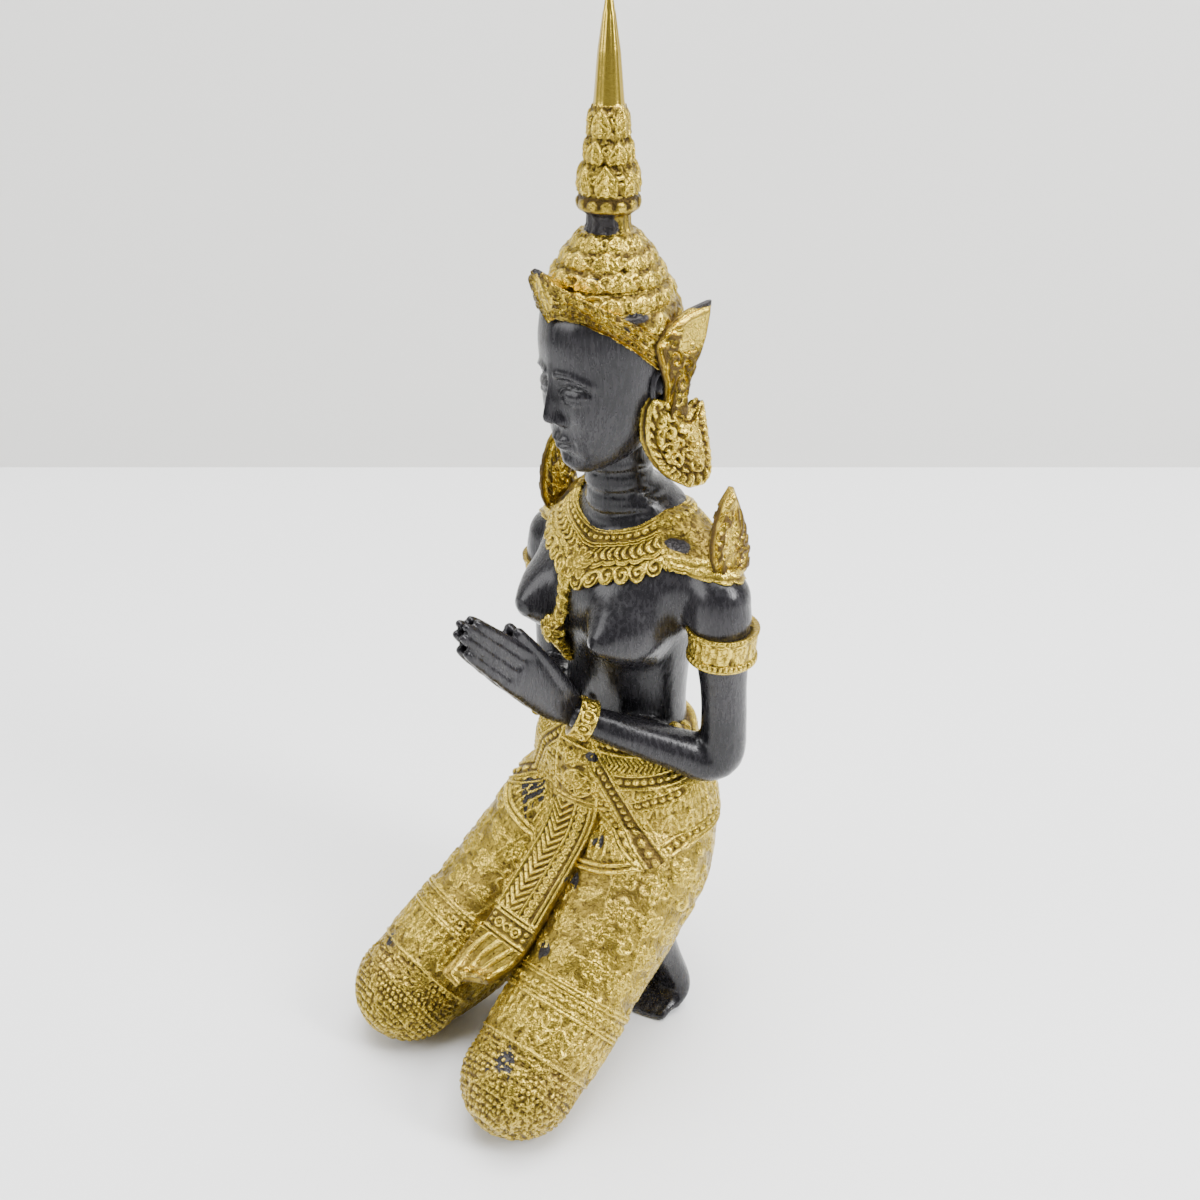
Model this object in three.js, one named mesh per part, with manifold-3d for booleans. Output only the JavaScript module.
// Kneeling bronze figure of a woman, hands pressed together, crowned and dressed for the temple.
// Millimetres, +Z up. The figure faces -Y and its left side is +X.
// The shape is laid out round the axis of the spire, then the whole casting is moved so that
// the origin is on the ground under the middle of its bounding box.
import * as THREE from 'three';
import { LoftGeometry } from 'three/addons/geometries/LoftGeometry.js';
import { mergeVertices } from 'three/addons/utils/BufferGeometryUtils.js';
import Module from 'manifold-3d';

// Driving dimensions
const HEIGHT = 320;              // ground to the tip of the spire
const HEAD_TURN = -7;            // degrees, the head looks a little to its own right
const SHOULDER_X = 34;
const ELBOW_X = 36;
const KNEE_X = 27.4;
const KNEE_Y = -62;
const KNEE_Z = 16.8;
const KNEE_RADIUS = 17.8;        // more than KNEE_Z, so each knee stands on a flat
const KNEE_LEAN = 0.034;         // sideways run of the knees for each millimetre forward
const SHOULDER_DROP = 4;         // right shoulder below the left one
const SHOULDER_TUCK = 1.5;       // right shoulder nearer to the spine than the left one
const COLLAR_THICKNESS = 2;
const OVAL_POWER = 2.2;          // body sections, a little squarer than an ellipse

// Facets round each kind of section
const OVAL_POINTS = 18;
const LEG_POINTS = 14;
const ARM_POINTS = 10;
const FINGER_POINTS = 5;
const CROWN_POINTS = 14;

// Degrees round the end of a limb at which the rounded end gets a ring
const LEG_END = [66, 36];
const ARM_END = [62, 31];
const FINGER_END = [45];

const wasm = await Module();
wasm.setup();

// Points and faces alone, with shared corners welded.
function welded(geometry) {
  const bare = new THREE.BufferGeometry();
  bare.setAttribute('position', geometry.attributes.position.clone());
  if (geometry.index) bare.setIndex(geometry.index.clone());
  return mergeVertices(bare, 1e-4);
}

// A closed geometry as a solid.
function solidOf(geometry) {
  const shell = welded(geometry);
  return new wasm.Manifold(new wasm.Mesh({
    numProp: 3,
    vertProperties: new Float32Array(shell.attributes.position.array),
    triVerts: new Uint32Array(shell.index.array),
  }));
}

// A solid as a geometry.
function geometryOf(solid) {
  const { vertProperties, triVerts } = solid.getMesh();
  const geometry = new THREE.BufferGeometry();
  geometry.setAttribute('position', new THREE.BufferAttribute(vertProperties, 3));
  geometry.setIndex(new THREE.BufferAttribute(triVerts, 1));
  return geometry;
}

function joined(solids) {
  return solids.reduce((whole, solid) => whole.add(solid));
}

// The same geometry on the other side of the plane x = 0.
function mirrored(geometry) {
  const copy = welded(geometry);
  const position = copy.attributes.position;
  for (let i = 0; i < position.count; i += 1) position.setX(i, -position.getX(i));
  const index = copy.index.array;
  for (let i = 0; i < index.length; i += 3) {
    const first = index[i];
    index[i] = index[i + 1];
    index[i + 1] = first;
  }
  return copy;
}

function bothSides(geometry) {
  return solidOf(geometry).add(solidOf(mirrored(geometry)));
}

// Stack of level ovals. Each row is [z, half width, half depth, centre y].
function ovalStack(rows, { count = OVAL_POINTS, power = 2, swell = 0 } = {}) {
  const sections = rows.map(([z, rx, ry, cy]) => {
    const ring = [];
    for (let j = 0; j < count; j += 1) {
      const angle = (j / count) * Math.PI * 2;
      const c = Math.cos(angle);
      const s = Math.sin(angle);
      ring.push(new THREE.Vector3(
        (rx + swell) * Math.sign(c) * Math.abs(c) ** (2 / power),
        cy + (ry + swell) * Math.sign(s) * Math.abs(s) ** (2 / power),
        z,
      ));
    }
    return ring;
  });
  return new LoftGeometry(sections, { capStart: true, capEnd: true });
}

// Limb of round sections. Each row is [x, y, z, radius] or [x, y, z, radius, thin radius], the
// thin one measured towards `thinWay`. `start` and `end` list the ring angles of a rounded end.
function limb(rows, {
  count = ARM_POINTS, start = [], end = [], thinWay = new THREE.Vector3(1, 0, 0),
} = {}) {
  const centres = rows.map(([x, y, z]) => new THREE.Vector3(x, y, z));
  const last = rows.length - 1;
  const ringAt = (row, shift, shrink) => {
    const along = centres[Math.min(row + 1, last)].clone().sub(centres[Math.max(row - 1, 0)]);
    along.normalize();
    const thinAxis = thinWay.clone().addScaledVector(along, -thinWay.dot(along)).normalize();
    const wideAxis = new THREE.Vector3().crossVectors(along, thinAxis);
    const [, , , wide, thin = wide] = rows[row];
    const middle = centres[row].clone().addScaledVector(along, shift * Math.min(wide, thin));
    const ring = [];
    for (let j = 0; j < count; j += 1) {
      const angle = (j / count) * Math.PI * 2;
      ring.push(middle.clone()
        .addScaledVector(thinAxis, thin * shrink * Math.cos(angle))
        .addScaledVector(wideAxis, wide * shrink * Math.sin(angle)));
    }
    return ring;
  };
  const capRing = (row, way, degrees) => {
    const turn = THREE.MathUtils.degToRad(degrees);
    return ringAt(row, way * Math.sin(turn), Math.cos(turn));
  };
  const sections = [
    ...start.map((degrees) => capRing(0, -1, degrees)),
    ...rows.map((row, i) => ringAt(i, 0, 1)),
    ...[...end].reverse().map((degrees) => capRing(last, 1, degrees)),
  ];
  return new LoftGeometry(sections, { capStart: true, capEnd: true });
}

function ellipsoid([cx, cy, cz], [rx, ry, rz], around, down, turnX = 0) {
  const ball = new THREE.SphereGeometry(1, around, down);
  ball.rotateX(Math.PI / 2);
  ball.scale(rx, ry, rz);
  ball.rotateX(THREE.MathUtils.degToRad(turnX));
  ball.translate(cx, cy, cz);
  return ball;
}

// Plate cut to an outline of [y, z] points, standing in the plane x = middle.
function sidePlate(outline, middle, thickness, bevel = 0) {
  const shape = new THREE.Shape(outline.map(([y, z]) => new THREE.Vector2(y, z)));
  const plate = new THREE.ExtrudeGeometry(shape, {
    depth: thickness - 2 * bevel,
    bevelEnabled: bevel > 0,
    bevelThickness: bevel,
    bevelSize: bevel,
    bevelSegments: 1,
  });
  plate.translate(0, 0, bevel - thickness / 2);
  plate.rotateY(Math.PI / 2);
  plate.rotateX(Math.PI / 2);
  plate.translate(middle, 0, 0);
  return plate;
}

// Trunk from the belt to the root of the neck
const TRUNK = [
  [104, 22.6, 18, 6.4],
  [120, 20.5, 15, 8.5],
  [132, 21.5, 16, 8],
  [144, 24, 18.5, 6.5],
  [156, 27, 20, 6],
  [165, 28.5, 19.5, 6.5],
  [172, 27, 16, 9.6],
  [179, 20.5, 13.2, 11],
  [185, 14, 11.4, 10.6],
  [189, 10.5, 10, 8],
];

function trunk(swell = 0) {
  return solidOf(ovalStack(TRUNK, { power: OVAL_POWER, swell }));
}

function shoulders(swell = 0) {
  return bothSides(limb([
    [8, 13, 176, 8.6 + swell],
    [21, 13, 172, 8.4 + swell],
    [SHOULDER_X, 10.4, 161.6, 9.6 + swell],
  ], { end: ARM_END }));
}

// Neck with three raised creases.
function neck() {
  const creases = [[181.4, 10.2, 5.9], [188, 9.8, 5.1], [194.4, 9.4, 4.3]];
  const rise = 0.7;
  const rows = [[176, 12, 11, 7.4]];
  creases.forEach(([z, radius, cy]) => {
    rows.push([z - rise, radius, radius, cy]);
    rows.push([z, radius + rise, radius + rise, cy]);
    rows.push([z + rise, radius - 0.2, radius - 0.2, cy]);
  });
  rows.push([208, 9.8, 10.6, 2.4]);
  return solidOf(ovalStack(rows, { count: 12 }));
}

function breasts() {
  const breast = ellipsoid([14.2, -5, 153], [13, 17.6, 14.6], 12, 6, -10);
  const nipple = ellipsoid([15.4, -21.8, 150.6], [1.7, 1.9, 1.7], 6, 3);
  return bothSides(breast).add(bothSides(nipple));
}

// Upper arms hang from the shoulders, forearms rise to the wrists in front of the breastbone
function arms() {
  return bothSides(limb([
    [SHOULDER_X, 10, 162, 9.2],
    [35, 10.2, 156, 9.4],
    [36.8, 11.4, 134, 6.9],
    [36.8, 12.6, 119, 6.9],
    [ELBOW_X, 12.6, 108, 7.2],
    [32.5, 8.5, 106.2, 7.2],
    [27, 2, 110, 6.6],
    [16, -10.3, 116.8, 5.4],
    [7.5, -18.6, 121.8, 4.5, 4],
  ]));
}

// Palms and fingers pressed together in front of the chest.
function hands() {
  const palm = limb([
    [4.6, -17.6, 121.6, 4.6, 3.6],
    [2.9, -24, 128.6, 6.8, 3.3],
    [2.7, -31.5, 138, 7.4, 3],
    [2.8, -37, 144.5, 7, 2.6],
  ], { count: 8, end: FINGER_END });
  const thumb = limb([
    [3.4, -18.5, 127, 2.6],
    [2.8, -28, 143, 2.4],
    [1.8, -36.6, 155.8, 1.6],
  ], { count: FINGER_POINTS, end: FINGER_END });
  const parts = [palm, thumb];
  const knuckle = new THREE.Vector3(2.6, -36, 143);
  const along = new THREE.Vector3(0, -0.68, 0.73);
  const across = new THREE.Vector3(0, 0.73, 0.68);
  // Little finger first: place at the knuckles, place at the tips, length.
  const fingers = [[-5.2, -4.4, 23], [-1.8, -1.3, 27.6], [1.7, 1.5, 28.8], [5, 3.9, 26]];
  fingers.forEach(([root, tip, length]) => {
    const at = (side, forward, inward) => {
      const point = knuckle.clone().addScaledVector(across, side).addScaledVector(along, forward);
      return [point.x - inward, point.y, point.z];
    };
    parts.push(limb([
      [...at(root, -3, 0), 2.3],
      [...at(tip, length, 0.8), 1.5],
    ], { count: FINGER_POINTS, end: FINGER_END }));
  });
  return joined(parts.map((part) => bothSides(part)));
}

// Head, face and crown are laid out facing straight ahead and turned afterwards
function face() {
  const skull = ovalStack([
    [196.8, 3.6, 3.4, -8.6],
    [198.4, 6.8, 6.2, -6.6],
    [202, 10.8, 10.4, -3.6],
    [207, 13.8, 14.4, -1.2],
    [213, 15.9, 17, 0.2],
    [221, 17.2, 18.7, 0.6],
    [236, 17.8, 19.3, 0.6],
    [244, 16.8, 18.2, 0.2],
  ], { power: 2.15 });
  const nose = limb([
    [0, -16.8, 226, 1.3],
    [0, -18.6, 220, 1.7, 1.3],
    [0, -20, 214.8, 2.2, 2],
    [0, -19.6, 213.4, 2, 3],
  ], { count: 8, end: FINGER_END });
  const brow = limb([
    [1.6, -18.2, 225.6, 0.8],
    [5.5, -18.2, 227.8, 0.8],
    [10, -15.8, 227.6, 0.7],
    [13.4, -12.2, 225.2, 0.5],
  ], { count: FINGER_POINTS });
  const upperLip = limb([
    [-4.2, -14.4, 206.9, 0.5],
    [-1.6, -16.2, 207.5, 1.1],
    [1.6, -16.2, 207.5, 1.1],
    [4.2, -14.4, 206.9, 0.5],
  ], { count: FINGER_POINTS });
  const lowerLip = limb([
    [-3.6, -14.2, 206, 0.5],
    [-1.4, -15.5, 205.2, 1.1],
    [1.4, -15.5, 205.2, 1.1],
    [3.6, -14.2, 206, 0.5],
  ], { count: FINGER_POINTS });
  const eye = ellipsoid([6.4, -15.9, 221.8], [3.6, 1.9, 1.5], 8, 4);
  const chin = ellipsoid([0, -9.6, 199.6], [4.6, 3.6, 3], 8, 4);
  const ear = ellipsoid([17.6, 4.4, 222.5], [1.9, 3.6, 7], 6, 4, -8);
  return joined([
    solidOf(skull), solidOf(nose), bothSides(brow), bothSides(eye),
    solidOf(upperLip), solidOf(lowerLip), solidOf(chin), bothSides(ear),
  ]);
}

// Radius of the crown by height: stepped cap, plain neck, leafy band, leafy cone, spire.
const CROWN_PROFILE = [
  [0, 234], [18.2, 234], [18.6, 240], [17.4, 243.4], [16.4, 243.8],
  [17.2, 244.8], [16.4, 248.2], [15, 248.8], [15.6, 249.8], [14.4, 252.8], [12.9, 253.4],
  [13.3, 254.4], [11.8, 256.8], [10.5, 257.4], [9, 259.6], [5.6, 260],
  [5.2, 265.8], [7.2, 266.4], [8.9, 268.4], [8.4, 270.4], [7.7, 271.2], [8.5, 273.6],
  [7.8, 277.4], [6.5, 278.2], [6.8, 281], [6, 282.2], [6.1, 285.4], [5.1, 286.6],
  [5.3, 289.4], [4.5, 291.6], [2.9, 305], [1.2, 316.5], [0, HEIGHT],
];
const CAP_TOP = 262;             // below this height the crown widens front to back
const CAP_DEPTH = 26;
const CAP_WIDENING = 0.09;

function crown() {
  const profile = CROWN_PROFILE.map(([r, z]) => new THREE.Vector2(r, z));
  const turned = new THREE.LatheGeometry(profile, CROWN_POINTS);
  turned.rotateX(Math.PI / 2);
  const position = turned.attributes.position;
  for (let i = 0; i < position.count; i += 1) {
    const into = THREE.MathUtils.clamp((CAP_TOP - position.getZ(i)) / CAP_DEPTH, 0, 1);
    position.setY(i, position.getY(i) * (1 + CAP_WIDENING * into));
  }
  return solidOf(turned);
}

// Diadem: a flared band from temple to temple, rising to a leaf over the brow.
function diadem() {
  const sections = [];
  const steps = 18;
  const reach = THREE.MathUtils.degToRad(112);
  for (let i = 0; i <= steps; i += 1) {
    const angle = -reach + (2 * reach * i) / steps;
    const side = Math.abs(angle) / reach;
    const peak = Math.exp(-((angle / 0.24) ** 2));
    const dip = Math.exp(-((angle / 0.14) ** 2));
    const low = 240.5 - 11 * side ** 1.5 - 2.4 * dip;
    const high = 248.6 - 11.5 * side ** 1.1 + 6.4 * peak;
    const flare = 1.9 + 3.4 * peak - 0.9 * side;
    const at = (out, z) => new THREE.Vector3(
      Math.sin(angle) * (17.9 + out),
      0.6 - Math.cos(angle) * (19.3 + out),
      z,
    );
    sections.push([
      at(-2.5, low + 0.6), at(-2.5, high - 1.2), at(flare - 1, high), at(flare + 0.3, high - 1),
      at(1.3, (low + high) / 2), at(0.9, low),
    ]);
  }
  return solidOf(new LoftGeometry(sections, { capStart: true, capEnd: true }));
}

// Flame leaf over the ear and the scrolled leaf that hangs below it.
function earOrnaments() {
  const flame = [
    [5.2, 222], [6.2, 234], [7, 238.5], [9.4, 241.2], [17.8, 243.8], [17.2, 239],
    [15.2, 233], [12.6, 222],
  ];
  const leaf = [
    [4, 219.5], [0.6, 217.8], [-1.8, 213], [-2, 207], [0, 202], [3.4, 197.6], [8, 193.6],
    [13.5, 190.6], [18.4, 191.2], [21.2, 195], [20.6, 202], [18, 217.8], [12, 213.2],
  ];
  return bothSides(sidePlate(flame, 19.4, 3.4)).add(bothSides(sidePlate(leaf, 18, 5, 1.2)));
}

// Broad collar with a scalloped lower edge, lying on the chest, shoulders and back.
function collar() {
  const outline = [];
  const halfWidth = 46;
  const steps = 24;
  const lowest = 163.8;
  const top = 192;
  for (let i = 0; i <= steps; i += 1) {
    const x = -halfWidth + (2 * halfWidth * i) / steps;
    const rise = 5.5 * (1 - Math.exp(-((x / 11) ** 2)));
    const fall = 3.2 * Math.max(0, (Math.abs(x) - 22) / 14);
    const tooth = i % 2 ? 1.1 : 0;
    outline.push(new THREE.Vector2(x, lowest + rise - fall - tooth));
  }
  outline.push(new THREE.Vector2(halfWidth, top), new THREE.Vector2(-halfWidth, top));
  const reach = new THREE.ExtrudeGeometry(new THREE.Shape(outline), {
    depth: 90, bevelEnabled: false,
  });
  reach.rotateX(Math.PI / 2);
  reach.translate(0, 60, 0);
  const opening = ovalStack([[150, 15, 12.6, 9.4], [230, 15, 12.6, 9.4]], { count: 14 });
  return trunk(COLLAR_THICKNESS).add(shoulders(COLLAR_THICKNESS))
    .intersect(solidOf(reach)).subtract(solidOf(opening));
}

function pendant() {
  const chain = limb([
    [0, -12.2, 166, 2.6, 1.5],
    [-1.5, -12.6, 159, 1.9, 1.6],
    [1.2, -12, 150, 1.9, 1.6],
    [0.4, -11, 141, 2.4, 1.6],
    [0, -9.6, 134, 1.6, 1.3],
  ], { count: FINGER_POINTS, end: FINGER_END, thinWay: new THREE.Vector3(0, 1, 0) });
  const flower = ellipsoid([0, -13.8, 147.8], [4, 1.8, 4], 8, 4);
  return solidOf(chain).add(solidOf(flower));
}

function shoulderFlames() {
  const outline = [
    [5, 169], [3.4, 175], [4.2, 181], [7, 187.5], [12.6, 196.5], [15.6, 189.5], [17.6, 183],
    [18.6, 176], [18, 169],
  ];
  return bothSides(sidePlate(outline, 35.4, 4.2, 1.2));
}

// Band round the upper arm with a raised rim above and below.
function armbands() {
  const rims = [
    [143.2, 9.8], [144.6, 9.9], [145.2, 9.3], [151.6, 10], [152.2, 10.8], [153.6, 11],
  ];
  return bothSides(limb(rims.map(([z, radius]) => [36.4, 10.5, z, radius])));
}

function bracelets() {
  return bothSides(limb([
    [12.2, -14.2, 119, 5.9, 5.4],
    [9.2, -17.2, 120.8, 6.2, 5.8],
    [6.4, -20, 122.6, 5.6, 5],
  ]));
}

// Belt and seat of the skirt.
function hips() {
  return solidOf(ovalStack([
    [36, 19, 10, 4],
    [42, 25, 14, 5],
    [50, 30.5, 18, 7],
    [62, 33, 21.5, 8],
    [76, 33, 23, 8.4],
    [92, 30, 22.4, 7.4],
    [100, 26.6, 21.6, 5.8],
    [105.6, 24.6, 20.6, 6],
    [107, 24, 19.8, 6.2],
    [111.8, 23.4, 19, 6.8],
    [113, 22.2, 17.6, 7],
  ], { power: OVAL_POWER }));
}

// Thighs and shins inside the tight skirt, and the cloth stretched between the thighs. The hem
// is a raised band just above each knee.
function legs() {
  const thigh = limb([
    [13, 9, 73, 15],
    [16, 4, 67.5, 20.6],
    [18.2, -6, 59.6, 21.2],
    [20, -14, 53, 19.8],
    [23, -30, 40, 18.4],
    [24.8, -41, 31, 17.9],
    [25, -41.8, 30.4, 18.7],
    [26.8, -56.8, 20.2, 18],
    [26.9, -57.6, 19.6, 17.6],
    [KNEE_X, KNEE_Y, KNEE_Z, KNEE_RADIUS],
  ], { count: LEG_POINTS, end: LEG_END });
  const shin = limb([
    [26.6, -50, 15.6, 15],
    [24.4, -36, 17.4, 13.3],
    [22.8, -24, 23, 12.2],
    [22.2, -10, 32.4, 11],
    [21, 1, 38, 9],
  ]);
  const web = limb([
    [0, -3.5, 75, 15],
    [0, -18, 57.4, 13.5],
    [0, -30, 50, 11],
    [0, -41, 42.5, 8],
    [0, -51.4, 38, 5],
  ], { end: ARM_END });
  return joined([bothSides(thigh), bothSides(shin), solidOf(web)]);
}

// Sash hanging from the belt between the thighs, widening to a fishtail over the knees. Each
// row of the path is [y, z, half width].
function sash() {
  const path = [
    [-14.2, 98, 5], [-15.4, 88, 5.2], [-20.6, 77, 5.4], [-29.5, 67, 5.8], [-39.4, 57.4, 6.2],
    [-46.5, 50, 6.8], [-54, 43.9, 7.5], [-62.4, 38.6, 8.4],
  ];
  const outer = 0.9;
  const inner = 3.5;
  const sections = path.map(([y, z, half]) => [
    new THREE.Vector3(-half, y + inner, z - inner),
    new THREE.Vector3(half, y + inner, z - inner),
    new THREE.Vector3(half, y - outer, z + outer),
    new THREE.Vector3(-half, y - outer, z + outer),
  ]);
  return solidOf(new LoftGeometry(sections, { capStart: true, capEnd: true }));
}

// Bare feet standing on their bent toes, heels under the seat.
function feet() {
  const foot = limb([
    [21, -1, 37, 8, 7.5],
    [21.4, 2.5, 28, 6.4, 7],
    [21.8, 6.8, 17, 5.2, 7.4],
    [22, 9, 8, 4.8, 8.2],
    [22, 3.6, 3.4, 3.4, 8.4],
  ], { count: 8 });
  const parts = [bothSides(foot)];
  // Big toe first: place across the foot, radius, place of the tip.
  const toes = [
    [15.2, 2.8, -5], [18.8, 2.3, -4.4], [22, 2.1, -3.6], [25, 2, -2.6], [27.8, 1.9, -1.4],
  ];
  toes.forEach(([x, radius, tip]) => {
    parts.push(bothSides(limb([
      [x, 6, 3.6, radius],
      [x, tip, 1.6, radius * 0.9],
    ], { count: FINGER_POINTS, end: FINGER_END })));
  });
  return joined(parts);
}

// The pose is not quite even: the knees point a little to the right of the figure, and its
// right shoulder sits lower than the left.
function easePose(geometry) {
  const { smoothstep } = THREE.MathUtils;
  const position = geometry.attributes.position;
  for (let i = 0; i < position.count; i += 1) {
    const x = position.getX(i);
    const y = position.getY(i);
    const z = position.getZ(i);
    const low = 1 - smoothstep(z, 60, 100);
    const outer = smoothstep(-x, 22, 33) * smoothstep(z, 115, 150);
    position.setX(i, x + KNEE_LEAN * Math.min(y, 0) * low + SHOULDER_TUCK * outer);
    position.setZ(i, z - SHOULDER_DROP * outer);
  }
}

const head = geometryOf(joined([face(), crown(), diadem(), earOrnaments()]));
head.rotateZ(THREE.MathUtils.degToRad(HEAD_TURN));

const figure = joined([
  solidOf(head), trunk(), shoulders(), neck(), breasts(), arms(), hands(), collar(), pendant(),
  shoulderFlames(), armbands(), bracelets(), hips(), legs(), sash(), feet(),
]);

// Knees and toes are dressed flat, so the casting stands without rocking.
const ground = new THREE.BoxGeometry(200, 300, 20);
ground.translate(0, 0, -10);

const casting = geometryOf(figure.subtract(solidOf(ground)));
easePose(casting);
casting.computeBoundingBox();
const middle = casting.boundingBox.getCenter(new THREE.Vector3());
casting.translate(-middle.x, -middle.y, 0);
casting.computeVertexNormals();

const mesh = new THREE.Mesh(casting, new THREE.MeshStandardMaterial({
  name: 'patinated_bronze', color: 0x8f7433, roughness: 0.4, metalness: 0.9,
}));
mesh.name = 'kneeling_figure';

const group = new THREE.Group();
group.name = 'kneeling_figure_part';
group.add(mesh);

export default group;
